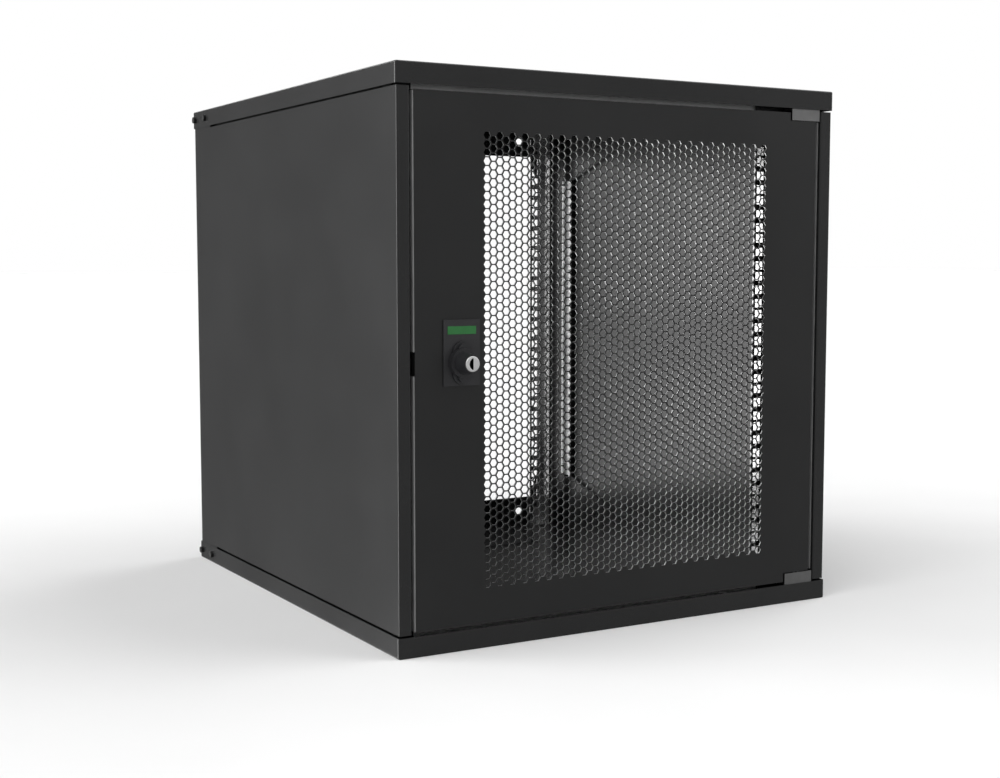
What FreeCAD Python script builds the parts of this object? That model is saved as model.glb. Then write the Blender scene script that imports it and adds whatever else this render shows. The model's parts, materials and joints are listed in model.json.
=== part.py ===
import math
import os
import re

import FreeCAD
import Part
import Sketcher

# Twelve-unit network cabinet, 600 mm deep: folded steel body, hinged perforated
# front door with a quarter-turn lock, four punched 19-inch rails, open rear frame.
# Frame: origin at the middle of the underside, +Z up, door towards -Y.

DRIVING = {
    # outer body
    "body_width": 554, "body_depth": 600, "body_height": 585.4,
    "tray_sheet": 1.5, "tray_skirt": 21.3, "tray_corner": 3, "fold_radius": 1.5,
    "panel_sheet": 1.2, "panel_gap": 2, "rear_post_depth": 61.5,
    # front returns of the side panels and the door between them
    "strip_left": 15.3, "strip_right": 17, "strip_return": 13.5,
    "door_gap_left": 4.7, "door_gap_right": 7.3, "door_top": 26.2, "door_bottom": 24.7,
    "door_sheet": 1.5, "door_return": 14, "notch_width": 37.1,
    "notch_top": 8.9, "notch_bottom": 10.5,
    # inner side frames
    "frame_sheet": 1.5, "frame_offset": 8.2, "frame_lip": 3.7, "frame_bar": 38,
    "frame_front_edge": 56, "chamfer_length": 117, "chamfer_drop": 39,
    "frame_front_set": 22, "flange_left": 20.3, "flange_right": 12.3,
    # rear opening
    "rear_half_opening": 250.5, "rear_bar": 40.3, "rear_chamfer_width": 16,
    "rear_chamfer_height": 44, "lacing_width": 23.5, "lacing_sheet": 1, "lacing_margin": 77,
    # nineteen-inch rails
    "rack_units": 12, "unit_height": 44.45, "hole_span": 465.1, "hole_size": 9.5,
    "hole_first": 6.35, "hole_step": 15.875, "rail_clear": 450, "rail_face": 22,
    "rail_leg": 23, "rail_sheet": 2, "front_rail_set": 73, "rear_rail_set": 17,
    "foot_width": 18, "foot_depth": 20, "foot_hole": 3.3, "foot_head": 5,
    # front beams
    "beam_drop": 28, "beam_flange": 25, "corner_plate_sheet": 3, "corner_plate_right": 10,
    "corner_plate_top": 57, "corner_plate_bottom": 46,
    # hinge
    "hinge_inset": 12.7, "hinge_set": 10, "pin_radius": 3, "pin_clearance": 0.05,
    "bracket_sheet": 1.5, "bracket_gap": 0.7, "bracket_left": 22, "bracket_right": 18,
    "bracket_depth": 14.5, "bracket_rise": 13.7, "bracket_drop": 15.3, "bracket_leaf": 19,
    "bracket_low_gap": 1.2, "tongue_left": 8, "hinge_screw_pitch": 16,
    "washer_thickness": 0.8, "washer_radius": 6, "sleeve_radius": 4, "collar_radius": 5,
    "collar_height": 2.2, "lower_pin_top": 7.5, "upper_pin_top": 15.7, "upper_pin_length": 58,
    "pin_shelf_drop": 26.3, "pin_shelf_width": 18, "pin_shelf_sheet": 2, "pin_shelf_leaf": 8,
    "spring_gap": 0.4, "spring_wire": 1.2, "grip_height": 4,
    # lock
    "lock_inset": 51.5, "plate_width": 41, "plate_height": 66, "plate_thickness": 1.5,
    "plate_below_axis": 22.95, "barrel_radius": 11, "lock_nut_flats": 28, "lock_nut_height": 5,
    "spindle_radius": 6, "spindle_tip": 4, "knob_gap": 0.2, "knob_flange": 2,
    "knob_height": 43, "knob_width": 22, "wing_width": 12, "wing_rise": 5,
    "boss_radius": 15, "boss_rise": 7, "nose_base": 11.5, "nose_radius": 9, "knob_rise": 22.2,
    "plug_radius": 7.9, "plug_clearance": 0.05, "plug_depth": 15, "plug_proud": 0.3,
    "keyway_width": 2.4, "keyway_height": 11, "keyway_depth": 7,
    "cam_width": 20, "cam_reach": 62, "cam_thickness": 3, "cam_set": 16.5,
    "cam_washer": 9, "cam_nut_flats": 13, "cam_nut_height": 4.5,
    "seal_break": 24, "badge_width": 32, "badge_height": 8, "badge_rise": 32.5,
    "badge_thickness": 0.3, "barrel_short": 0.5, "wing_short": 4, "thread_end": 2, "cam_washer_thickness": 1,
    # door fittings
    "stiffener_width": 20, "stiffener_depth": 12, "stiffener_margin": 36,
    "stiffener_left_inset": 6.4, "stiffener_right_inset": 41, "seal_thickness": 1.2,
    "seal_depth": 9, "seal_set": 1, "hinge_seal_set": 4.3,
    "buffer_radius": 6, "buffer_inset": 3.4, "buffer_margin": 80,
    "buffer_clearance": 0.3,
    # fasteners and openings
    "overcut": 1, "shank_short": 0.3, "bolt_grip": 2, "bolt_head": 4, "bolt_head_height": 3,
    "bolt_radius": 2.5, "bolt_fit": 0.1,
    "bolt_first": 8, "bolt_second": 46, "wall_span": 430, "wall_hole": 5.5,
    "wall_height": 19.5, "wall_relief": 7,
    "foot_span_wide": 400, "foot_span_deep": 500, "foot_bore": 5.25,
    "entry_width": 300, "entry_depth": 80, "entry_set": 90, "cover_overlap": 15,
    "cover_sheet": 1.2, "screw_head": 3.5, "screw_head_height": 2.4, "screw_radius": 2,
    "vent_length": 60, "vent_width": 4, "vent_pitch": 12, "vent_rows": 14, "vent_inset": 60,
    "vent_start": 90, "panel_screw_set": 100, "panel_screw_height": 30.5, "panel_boss": 5,
    "stud_x": 195, "stud_y": 215, "stud_height": 20, "stud_nut_flats": 10,
    "stud_nut_height": 5, "stud_nut_level": 7,
}

doc = FreeCAD.newDocument("RackCabinet")
sheet = doc.addObject("Spreadsheet::Sheet", "Dims")
for row, (alias, size) in enumerate(DRIVING.items(), start=1):
    sheet.set(f"A{row}", alias)
    sheet.set(f"B{row}", str(size))
    sheet.setAlias(f"B{row}", alias)
doc.recompute()

# Planes and levels worked out from the driving sizes, as sheet expressions.
FRONT, REAR = "(-body_depth/2)", "(body_depth/2)"
HALF, TOP = "(body_width/2)", "body_height"
PANEL_OUT = f"({HALF} - tray_sheet)"
PANEL_IN = f"({PANEL_OUT} - panel_sheet)"
PANEL_FRONT = f"({FRONT} + tray_sheet)"
POST_FRONT = f"({REAR} - rear_post_depth)"
TRAY_REAR = f"({REAR} - tray_sheet)"
FLOOR, CEILING = "tray_sheet", f"({TOP} - tray_sheet)"
PANEL_LOW, PANEL_HIGH = "(tray_skirt + panel_gap)", f"({TOP} - tray_skirt - panel_gap)"
FRAME_IN = f"({HALF} - frame_offset)"
FRAME_FRONT = f"({FRONT} + frame_front_set)"
BEAM_FRONT = f"({FRAME_FRONT} + frame_sheet)"
DOOR_LEFT = f"(-{HALF} + strip_left + door_gap_left)"
DOOR_RIGHT = f"({HALF} - strip_right - door_gap_right)"
DOOR_LOW, DOOR_HIGH = "door_bottom", f"({TOP} - door_top)"
DOOR_BACK = f"({PANEL_FRONT} + door_return)"
DOOR_IN = f"({PANEL_FRONT} + door_sheet)"
NOTCH_LEFT = f"({DOOR_RIGHT} - notch_width)"
NOTCH_HIGH, NOTCH_LOW = f"({DOOR_HIGH} - notch_top)", f"({DOOR_LOW} + notch_bottom)"
HINGE_X, HINGE_Y = f"({DOOR_RIGHT} - hinge_inset)", f"({FRONT} + hinge_set)"
WEB_HIGH = f"({NOTCH_HIGH} + bracket_rise - bracket_sheet)"
WEB_LOW = f"({NOTCH_LOW} - bracket_drop + bracket_sheet)"
REAR_CUT = (f"{TRAY_REAR} - overcut", f"{REAR} + overcut")
LOCK_X, LOCK_Z = f"({DOOR_LEFT} + lock_inset)", f"({TOP}/2)"
PLATE_FRONT = f"({PANEL_FRONT} - plate_thickness)"
KNOB_BASE = f"({PLATE_FRONT} - knob_gap)"
CAM_FRONT = f"({FRONT} + cam_set)"
CAM_BACK = f"({CAM_FRONT} + cam_thickness)"

SIDES = (("left", -1), ("right", 1))
TURNS = {"x": ((0, 1, 0), 90), "y": ((1, 0, 0), -90), "z": ((0, 0, 1), 0)}
WORD = re.compile(r"\b[a-z]\w*")
NODES = []


def expr(text):
    """Sheet expression for a text that uses bare cell names."""
    return WORD.sub(lambda match: "Dims." + match.group(0), str(text))


def value(text):
    """Number that an expression gives now."""
    result = sheet.evalExpression(expr(text))
    return float(getattr(result, "Value", result))


def bind(item, prop, text):
    """Tie a property of an object to the sheet."""
    item.setExpression(prop, expr(text))


def node(item, label):
    """Mark an object as a sub-part and name it."""
    item.Label = label
    NODES.append(item)
    return item


def span(sign, inner, outer):
    """Low and high ends of a range given from the middle plane outwards."""
    return (inner, outer) if sign > 0 else (f"-({outer})", f"-({inner})")


def box(name, x, y, z):
    """Block between three pairs of planes."""
    item = doc.addObject("Part::Box", name)
    sizes = zip("xyz", ("Length", "Width", "Height"), (x, y, z))
    for axis, prop, (low, high) in sizes:
        bind(item, prop, f"({high}) - ({low})")
        bind(item, f"Placement.Base.{axis}", low)
    return item


def stand(item, along, centre, low):
    """Turn an item along one axis; centre is its place on the other two, in X, Y, Z order."""
    turn, angle = TURNS[along]
    item.Placement.Rotation = FreeCAD.Rotation(FreeCAD.Vector(*turn), angle)
    others = [axis for axis in "xyz" if axis != along]
    for axis, place in zip(others + [along], (*centre, low)):
        bind(item, f"Placement.Base.{axis}", place)


def rod(name, along, centre, radius, low, high):
    """Cylinder along one axis."""
    item = doc.addObject("Part::Cylinder", name)
    bind(item, "Radius", radius)
    bind(item, "Height", f"({high}) - ({low})")
    stand(item, along, centre, low)
    return item


def hexagon_nut(name, along, centre, flats, low, high, bore):
    """Six-sided nut with a round bore."""
    item = doc.addObject("Part::Prism", name + "_blank")
    item.Polygon = 6
    bind(item, "Circumradius", f"({flats})/{math.sqrt(3):.6f}")
    bind(item, "Height", f"({high}) - ({low})")
    stand(item, along, centre, low)
    hole = rod(name + "_bore", along, centre, bore, low, high)
    return cut(name, item, [hole])


def fuse(name, parts):
    """One solid from several that touch or overlap."""
    item = doc.addObject("Part::MultiFuse", name)
    item.Shapes = parts
    item.Refine = True
    return item


def cut(name, base, tools):
    """Solid with material removed."""
    item = doc.addObject("Part::Cut", name)
    item.Base = base
    item.Tool = tools[0] if len(tools) == 1 else fuse(name + "_tools", tools)
    return item


def group(name, parts):
    """Several separate solids kept as one sub-part."""
    item = doc.addObject("Part::Compound", name)
    item.Links = parts
    return item


def ring(name, along, centre, outer, inner, low, high):
    """Disc or sleeve with a round hole right through."""
    disc = rod(name + "_disc", along, centre, outer, low, high)
    return cut(name, disc, [rod(name + "_hole", along, centre, inner, low, high)])


def screw(name, along, centre, head, shank):
    """Round-headed screw; head and shank are each a radius and its two ends."""
    return fuse(name, [rod(name + "_head", along, centre, *head),
                       rod(name + "_shank", along, centre, *shank)])


def rounded(name, base, choose):
    """Base with edges rounded; choose() gives an edge's radius, or None to leave it sharp."""
    doc.recompute()
    item = doc.addObject("Part::Fillet", name)
    item.Base = base
    radii = [(number, choose(edge)) for number, edge in enumerate(base.Shape.Edges, start=1)]
    item.Edges = [(number, value(radius), value(radius)) for number, radius in radii if radius]
    return item


def is_upright(edge):
    """True for a straight vertical edge."""
    ends = [vertex.Point for vertex in edge.Vertexes]
    return len(ends) == 2 and (ends[0] - ends[1]).cross(FreeCAD.Vector(0, 0, 1)).Length < 1e-6


def sketch_on(body, role, name, offset):
    """Sketch on one of the body's own origin planes, moved along its normal."""
    sketch = body.newObject("Sketcher::SketchObject", name)
    plane = next(item for item in body.Origin.OriginFeatures if item.Role == role)
    sketch.AttachmentSupport = [(plane, "")]
    sketch.MapMode = "FlatFace"
    bind(sketch, "AttachmentOffset.Base.z", offset)
    return sketch


def add_loop(sketch, points, tag):
    """Closed outline whose corners are each tied to the sheet."""
    corners = [FreeCAD.Vector(value(u), value(v), 0) for u, v in points]
    first = sketch.GeometryCount
    for number, corner in enumerate(corners):
        following = corners[(number + 1) % len(corners)]
        sketch.addGeometry(Part.LineSegment(corner, following), False)
    for number, (u, v) in enumerate(points):
        line, after = first + number, first + (number + 1) % len(points)
        ties = (("DistanceX", u, corners[number].x), ("DistanceY", v, corners[number].y))
        for kind, text, place in ties:
            label = f"{tag}{kind[-1]}{number}"
            index = sketch.addConstraint(Sketcher.Constraint(kind, -1, 1, line, 1, place))
            sketch.renameConstraint(index, label)
            bind(sketch, f"Constraints.{label}", text)
        sketch.addConstraint(Sketcher.Constraint("Coincident", line, 2, after, 1))


def prism(name, plane, loops, low, high):
    """Body padded between two planes from an outline and any holes in it."""
    body = doc.addObject("PartDesign::Body", name)
    offset = f"-({high})" if plane == "XZ" else low
    sketch = sketch_on(body, plane + "_Plane", name + "_outline", offset)
    for number, points in enumerate(loops):
        add_loop(sketch, points, "abc"[number])
    pad = body.newObject("PartDesign::Pad", name + "_pad")
    pad.Profile = sketch
    bind(pad, "Length", f"({high}) - ({low})")
    body.Tip = pad
    return body


def octagon(low_u, high_u, low_v, high_v, chamfer_u, chamfer_v):
    """Rectangle with all four corners cut off."""
    return [
        (f"{low_u} + {chamfer_u}", low_v), (f"{high_u} - {chamfer_u}", low_v),
        (high_u, f"{low_v} + {chamfer_v}"), (high_u, f"{high_v} - {chamfer_v}"),
        (f"{high_u} - {chamfer_u}", high_v), (f"{low_u} + {chamfer_u}", high_v),
        (low_u, f"{high_v} - {chamfer_v}"), (low_u, f"{low_v} + {chamfer_v}"),
    ]


def rectangle(low_u, high_u, low_v, high_v):
    """Four corners of a rectangle."""
    return [(low_u, low_v), (high_u, low_v), (high_u, high_v), (low_u, high_v)]


def wall_holes(name, radius, y, heights):
    """Cutters for the wall-fixing holes at the given heights."""
    places = [(f"{sign}*wall_span/2", height) for _, sign in SIDES for height in heights]
    return [
        rod(f"{name}_{number}", "y", place, radius, *y)
        for number, place in enumerate(places)
    ]


def corner_bolt_places():
    """Side, depth and height of each bolt that ties a tray to the rear posts."""
    heights = ("tray_skirt/2", f"{TOP} - tray_skirt/2")
    depths = (f"{REAR} - bolt_first", f"{REAR} - bolt_second")
    return [(sign, y, z) for _, sign in SIDES for y in depths for z in heights]


def corner_bolt_holes(name):
    """Cutters for the corner bolts, through a tray skirt and a rear post."""
    return [
        rod(f"{name}_{number}", "x", (y, z), "bolt_radius + bolt_fit",
            *span(sign, f"{PANEL_IN} - overcut", f"{HALF} + overcut"))
        for number, (sign, y, z) in enumerate(corner_bolt_places())
    ]


def rail_foot_places():
    """Middle of each rail foot, as X and Y."""
    x = "rail_clear/2 + rail_sheet + foot_width/2"
    depths = (f"{FRONT} + front_rail_set + rail_sheet + foot_depth/2",
              f"{REAR} - rear_rail_set - rail_sheet - foot_depth/2")
    return [(f"{sign}*({x})", y) for _, sign in SIDES for y in depths]


def foot_screw_holes(name, low, high):
    """Cutters for the screws under the rail feet."""
    return [
        rod(f"{name}_{number}", "z", place, "bolt_radius + bolt_fit", low, high)
        for number, place in enumerate(rail_foot_places())
    ]


def cover_screw_places():
    """Corners of a cable-entry cover, as X and Y."""
    return [
        (f"{side}*(entry_width/2 + cover_overlap/2)",
         f"{REAR} - entry_set + {way}*(entry_depth/2 + cover_overlap/2)")
        for side in (-1, 1) for way in (-1, 1)
    ]


def cable_entry(name, low, high):
    """Cutters for the cable entry and its cover's screws."""
    depths = (f"{REAR} - entry_set - entry_depth/2", f"{REAR} - entry_set + entry_depth/2")
    entry = box(name, ("-entry_width/2", "entry_width/2"), depths, (low, high))
    screws = [
        rod(f"{name}_screw_{number}", "z", place, "screw_radius + bolt_fit", low, high)
        for number, place in enumerate(cover_screw_places())
    ]
    return [entry, *screws]


def is_at(edge, axis, place):
    """True for an edge that lies in the plane where one coordinate has the given value."""
    return all(abs(getattr(vertex.Point, axis) - value(place)) < 1e-6 for vertex in edge.Vertexes)


def tray_blank(name, low, high, inner, face):
    """Shallow folded tray with rounded corners and folds, hollow above or below its plate."""
    outer = box(name + "_block", (f"-{HALF}", HALF), (FRONT, REAR), (low, high))
    hollow = box(name + "_hollow", (f"-{PANEL_OUT}", PANEL_OUT), (PANEL_FRONT, TRAY_REAR), inner)
    solid = rounded(name + "_folds", outer, lambda edge: "tray_corner" if is_upright(edge)
                    else "fold_radius" if is_at(edge, "z", face) else None)
    space = rounded(name + "_space", hollow,
                    lambda edge: "tray_corner - tray_sheet" if is_upright(edge) else None)
    return solid, space


def base_tray():
    """Bottom tray: skirt up, with foot, cable, rail and wall-fixing holes."""
    solid, space = tray_blank("base_tray", "0", "tray_skirt", (FLOOR, "tray_skirt + overcut"), "0")
    level = ("-overcut", f"{FLOOR} + overcut")
    feet = [
        rod(f"base_foot_{side}_{way}", "z", (f"{side}*foot_span_wide/2", f"{way}*foot_span_deep/2"),
            "foot_bore", *level)
        for side in (-1, 1) for way in (-1, 1)
    ]
    tools = [space, *feet, *cable_entry("base_entry", *level)]
    tools += foot_screw_holes("base_rail_hole", *level)
    tools += wall_holes("base_relief", "wall_relief", REAR_CUT, ("wall_height",))
    tools += corner_bolt_holes("base_bolt_hole")
    node(cut("base_tray", solid, tools), "base_tray")


def roof_tray():
    """Top tray: skirt down, with vent slots, cable entry and wall-fixing reliefs."""
    solid, space = tray_blank("roof_tray", f"{TOP} - tray_skirt", TOP,
                              (f"{TOP} - tray_skirt - overcut", CEILING), TOP)
    level = (f"{CEILING} - overcut", f"{TOP} + overcut")
    vents = [
        box(f"roof_vent_{side}_{number}",
            span(sign, f"{HALF} - vent_inset - vent_length", f"{HALF} - vent_inset"),
            (f"{FRONT} + vent_start + {number}*vent_pitch",
             f"{FRONT} + vent_start + {number}*vent_pitch + vent_width"), level)
        for side, sign in SIDES for number in range(int(value("vent_rows")))
    ]
    tools = [space, *vents, *cable_entry("roof_entry", *level)]
    tools += foot_screw_holes("roof_rail_hole", *level)
    tools += wall_holes("roof_relief", "wall_relief", REAR_CUT, (f"{TOP} - wall_height",))
    tools += corner_bolt_holes("roof_bolt_hole")
    node(cut("roof_tray", solid, tools), "roof_tray")


def rear_frame():
    """Rear plate with folded posts at both sides and a large cut-cornered opening."""
    inner, low = PANEL_IN, f"{TRAY_REAR} - panel_sheet"
    outline = [
        (f"-{PANEL_OUT}", POST_FRONT), (f"-{inner}", POST_FRONT), (f"-{inner}", low), (inner, low),
        (inner, POST_FRONT), (PANEL_OUT, POST_FRONT), (PANEL_OUT, TRAY_REAR), (f"-{PANEL_OUT}", TRAY_REAR),
    ]
    flat = prism("rear_frame_sheet", "XY", [outline], FLOOR, CEILING)
    body = rounded("rear_frame_folds", flat, lambda edge: "tray_corner - tray_sheet"
                   if is_upright(edge) and is_at(edge, "y", TRAY_REAR) else None)
    through = (f"{low} - overcut", f"{REAR} + overcut")
    opening = prism("rear_opening", "XZ", [octagon(
        "-rear_half_opening", "rear_half_opening", "rear_bar", f"{TOP} - rear_bar",
        "rear_chamfer_width", "rear_chamfer_height")], *through)
    holes = wall_holes("rear_hole", "wall_hole", through, ("wall_height", f"{TOP} - wall_height"))
    node(cut("rear_frame", body, [opening, *holes, *corner_bolt_holes("rear_bolt_hole")]), "rear_frame")


def frame_opening(grow):
    """Opening in a side frame with its rear corners cut off, made larger by grow all round."""
    front, rear = f"{FRONT} + frame_front_edge - {grow}", f"{POST_FRONT} + {grow}"
    low, high = f"frame_bar - {grow}", f"{TOP} - frame_bar + {grow}"
    return [(front, low), (f"{rear} - chamfer_length", low), (rear, f"{low} + chamfer_drop"),
            (rear, f"{high} - chamfer_drop"), (f"{rear} - chamfer_length", high), (front, high)]


def panel_screw_places():
    """Depth and height of the screws that hold a side panel."""
    heights = ("panel_screw_height", f"{TOP} - panel_screw_height")
    return [(f"{way}*({HALF} - panel_screw_set)", height) for way in (-1, 1) for height in heights]


def side_frame(side, sign):
    """Inner side frame: sheet with a lipped opening and a folded front flange."""
    rear, face = f"({TRAY_REAR} - panel_sheet)", f"({FRAME_IN} + frame_sheet)"
    name = f"side_frame_{side}"
    edge = rectangle(BEAM_FRONT, rear, FLOOR, CEILING)
    plate = prism(name + "_plate", "YZ", [edge, frame_opening("0")], *span(sign, FRAME_IN, face))
    lip = prism(name + "_lip", "YZ", [frame_opening("frame_sheet"), frame_opening("0")],
                *span(sign, face, f"{face} + frame_lip"))
    fold = box(name + "_fold", span(sign, f"{face} - flange_{side}", face),
               (FRAME_FRONT, BEAM_FRONT), (FLOOR, CEILING))
    holes = [
        rod(f"{name}_hole_{number}", "x", place, "bolt_radius + bolt_fit",
            *span(sign, f"{FRAME_IN} - overcut", f"{face} + overcut"))
        for number, place in enumerate(panel_screw_places())
    ]
    node(cut(name, fuse(name + "_sheet", [plate, lip, fold]), holes), name)


def side_panel(side, sign):
    """Outer side cover: flat skin, front strip and its inward return, with four screw bosses."""
    name = f"side_panel_{side}"
    edge, face = f"({HALF} - strip_{side})", f"({FRAME_IN} + frame_sheet)"
    outline = [
        (PANEL_OUT, POST_FRONT), (PANEL_IN, POST_FRONT), (PANEL_IN, f"{PANEL_FRONT} + panel_sheet"),
        (f"{edge} + panel_sheet", f"{PANEL_FRONT} + panel_sheet"),
        (f"{edge} + panel_sheet", f"{PANEL_FRONT} + strip_return"), (edge, f"{PANEL_FRONT} + strip_return"),
        (edge, PANEL_FRONT), (PANEL_OUT, PANEL_FRONT),
    ]
    points = [(f"{sign}*({x})", y) for x, y in outline]
    flat = prism(name + "_flat", "XY", [points], PANEL_LOW, PANEL_HIGH)
    skin = rounded(name + "_skin", flat, lambda edge: "fold_radius"
                   if is_upright(edge) and is_at(edge, "y", PANEL_FRONT) else None)
    bosses = [
        rod(f"{name}_boss_{number}", "x", place, "panel_boss", *span(sign, face, PANEL_IN))
        for number, place in enumerate(panel_screw_places())
    ]
    bores = [
        rod(f"{name}_bore_{number}", "x", place, "bolt_radius + bolt_fit",
            *span(sign, f"{face} - overcut", PANEL_IN))
        for number, place in enumerate(panel_screw_places())
    ]
    node(cut(name, fuse(name + "_solid", [skin, *bosses]), bores), name)


def lacing_strip(side, sign):
    """Plain zinc strip up a side frame's rear upright, for tying cables."""
    name = f"lacing_strip_{side}"
    x = span(sign, f"{FRAME_IN} - lacing_sheet", FRAME_IN)
    y = (POST_FRONT, f"{POST_FRONT} + lacing_width")
    node(box(name, x, y, ("lacing_margin", f"{TOP} - lacing_margin")), name)


def rack_rail(place, side, sign):
    """Punched L-section rail with a foot at each end."""
    name = f"rack_rail_{place}_{side}"
    inner = "(rail_clear/2)"
    outer = f"({inner} + rail_face)"
    if place == "front":
        face, back, leg = f"({FRONT} + front_rail_set)", "+ rail_sheet", "+ rail_leg"
    else:
        face, back, leg = f"({REAR} - rear_rail_set)", "- rail_sheet", "- rail_leg"
    section = [
        (f"{sign}*{inner}", face), (f"{sign}*{outer}", face), (f"{sign}*{outer}", f"{face} {leg}"),
        (f"{sign}*({outer} - rail_sheet)", f"{face} {leg}"),
        (f"{sign}*({outer} - rail_sheet)", f"{face} {back}"), (f"{sign}*{inner}", f"{face} {back}"),
    ]
    rail = prism(name + "_section", "XY", [section], FLOOR, CEILING)
    doc.recompute()
    solid_volume = rail.Shape.Volume
    holes = sketch_on(rail, "XZ_Plane", name + "_holes", f"-({face} - 2*rail_sheet)")
    for number in range(3):
        u, v = f"{sign}*hole_span/2", f"{TOP}/2 - rack_units*unit_height/2 + hole_first + {number}*hole_step"
        add_loop(holes, rectangle(f"{u} - hole_size/2", f"{u} + hole_size/2",
                                  f"{v} - hole_size/2", f"{v} + hole_size/2"), "abc"[number])
    pocket = rail.newObject("PartDesign::Pocket", name + "_pocket")
    pocket.Profile = holes
    bind(pocket, "Length", "4*rail_sheet")
    doc.recompute()
    pattern = rail.newObject("PartDesign::LinearPattern", name + "_units")
    pattern.Originals = [pocket]
    pattern.Direction = (holes, ["V_Axis"])
    bind(pattern, "Length", "(rack_units - 1)*unit_height")
    bind(pattern, "Occurrences", "rack_units")
    rail.Tip = pattern
    doc.recompute()
    punched = value("3*rack_units*hole_size*hole_size*rail_sheet")
    if abs(solid_volume - rail.Shape.Volume - punched) > 1:
        raise RuntimeError(f"{name}: the square holes are not all cut")
    low_y, high_y = (f"{face} + rail_sheet", f"{face} + rail_sheet + foot_depth")
    if place == "rear":
        low_y, high_y = (f"{face} - rail_sheet - foot_depth", f"{face} - rail_sheet")
    foot_x = span(sign, f"{inner} + rail_sheet", f"{inner} + rail_sheet + foot_width")
    levels = ((FLOOR, f"{FLOOR} + rail_sheet"), (f"{CEILING} - rail_sheet", CEILING))
    feet = [
        box(f"{name}_foot_{number}", foot_x, (low_y, high_y), level)
        for number, level in enumerate(levels)
    ]
    middle = (f"{sign}*({inner} + rail_sheet + foot_width/2)", f"({low_y} + {high_y})/2")
    bore = rod(name + "_bore", "z", middle, "foot_hole", "0", TOP)
    node(cut(name, fuse(name + "_solid", [rail, *feet]), [bore]), name)


def rail_screws():
    """Pan-head screws through the rail feet into the trays."""
    low, high = f"({FLOOR} + rail_sheet)", f"({CEILING} - rail_sheet)"
    screws = []
    for number, place in enumerate(rail_foot_places()):
        screws.append(screw(f"rail_screw_low_{number}", "z", place,
                            ("foot_head", low, f"{low} + bolt_head_height"),
                            ("bolt_radius", "shank_short", low)))
        screws.append(screw(f"rail_screw_high_{number}", "z", place,
                            ("foot_head", f"{high} - bolt_head_height", high),
                            ("bolt_radius", high, f"{TOP} - shank_short")))
    node(group("rail_screws", screws), "rail_screws")


def front_beams():
    """Two L-section cross-members behind the door's edges, each with a plate at its hinge end."""
    width = (f"-{FRAME_IN}", FRAME_IN)
    levels = {
        "top": ((f"{CEILING} - beam_drop", CEILING),
                (f"{CEILING} - beam_drop", f"{CEILING} - beam_drop + frame_sheet")),
        "bottom": ((FLOOR, f"{FLOOR} + beam_drop"),
                   (f"{FLOOR} + beam_drop - frame_sheet", f"{FLOOR} + beam_drop")),
    }
    for end, (edge, ledge) in levels.items():
        name = f"front_beam_{end}"
        web = box(name + "_web", width, (BEAM_FRONT, f"{BEAM_FRONT} + frame_sheet"), edge)
        flange = box(name + "_flange", width, (BEAM_FRONT, f"{BEAM_FRONT} + beam_flange"), ledge)
        node(fuse(name, [web, flange]), name)
        plate_x = (f"{HINGE_X} - corner_plate_{end}", f"{HINGE_X} - corner_plate_right")
        plate = box(f"corner_plate_{end}", plate_x, (f"{BEAM_FRONT} - corner_plate_sheet", BEAM_FRONT), edge)
        node(plate, f"corner_plate_{end}")


def hinge_brackets():
    """Channel brackets in the door's corner notches, drilled for the pins and screwed to the beams."""
    left, right = f"{HINGE_X} - bracket_left", f"{HINGE_X} + bracket_right"
    back, tongue = f"({PANEL_FRONT} + bracket_depth)", (f"{HINGE_X} - tongue_left", right)
    levels = {
        "top": ((f"{NOTCH_HIGH} + bracket_gap", WEB_HIGH), (WEB_HIGH, f"{WEB_HIGH} + bracket_sheet"),
                (WEB_HIGH, f"{WEB_HIGH} + bracket_leaf"), "pin_clearance"),
        "bottom": ((WEB_LOW, f"{NOTCH_LOW} - bracket_low_gap"), (f"{WEB_LOW} - bracket_sheet", WEB_LOW),
                   (f"{WEB_LOW} - bracket_leaf", WEB_LOW), "0"),
    }
    for end, (leaf, web, upright, gap) in levels.items():
        name = f"hinge_bracket_{end}"
        channel = fuse(name + "_channel", [
            box(name + "_front", (left, right), (PANEL_FRONT, f"{PANEL_FRONT} + bracket_sheet"), leaf),
            box(name + "_back", (left, right), (f"{back} - bracket_sheet", back), leaf),
            box(name + "_web", (left, right), (PANEL_FRONT, back), web),
            box(name + "_tongue", tongue, (back, BEAM_FRONT), web),
            box(name + "_upright", tongue, (f"{BEAM_FRONT} - bracket_sheet", BEAM_FRONT), upright)])
        bore = rod(name + "_bore", "z", (HINGE_X, HINGE_Y), f"pin_radius + {gap}",
                   f"{web[0]} - overcut", f"{web[1]} + overcut")
        node(cut(name, channel, [bore]), name)


def hinge_screws():
    """Two screws in each hinge bracket, their heads towards the door."""
    heights = (f"{WEB_HIGH} + bracket_leaf/2", f"{WEB_LOW} - bracket_leaf/2")
    middle = f"({HINGE_X} + bracket_right/2 - tongue_left/2)"
    seat = f"({BEAM_FRONT} - bracket_sheet)"
    screws = [
        rod(f"hinge_screw_{number}_{way}", "y", (f"{middle} + {way}*hinge_screw_pitch/2", height),
            "screw_head", f"{seat} - screw_head_height/2", seat)
        for number, height in enumerate(heights) for way in (-1, 1)
    ]
    node(group("hinge_screws", screws), "hinge_screws")


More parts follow.
